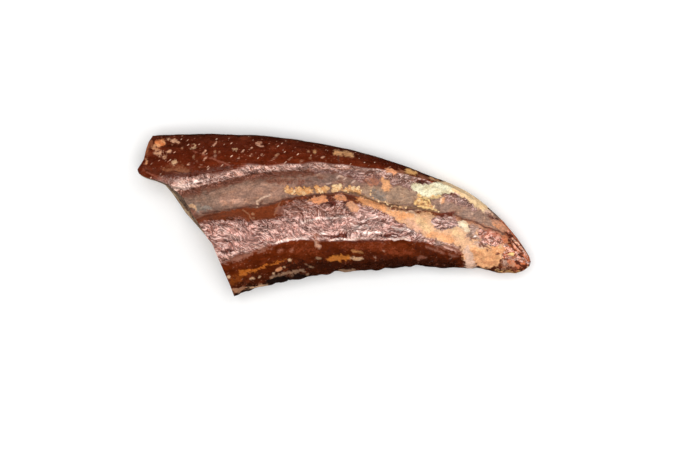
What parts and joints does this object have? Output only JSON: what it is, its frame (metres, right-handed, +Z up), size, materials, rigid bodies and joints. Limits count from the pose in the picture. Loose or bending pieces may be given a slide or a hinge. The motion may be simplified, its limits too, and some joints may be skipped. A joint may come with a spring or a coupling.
{
  "type": "dinosaur fossil claw",
  "caption": "Curved, tapering fossil claw bone with a long groove along its side and a broken base, lying flat on its side.",
  "frame": {"origin": "centre of the bottom of the bounding box, on the surface the claw lies on", "axes": "+X from the broken base towards the tip, +Y from the concave belly edge towards the convex back, +Z up through the thickness"},
  "size_m": [0.0708, 0.0292, 0.0152],
  "materials": {
    "petrified_bone": "glossy dark red-brown petrified bone with pale sandy matrix, peach worn patches and cream flecks"
  },
  "bodies": {
    "root": {"fossil_claw": "petrified_bone"}
  },
  "joints": []
}
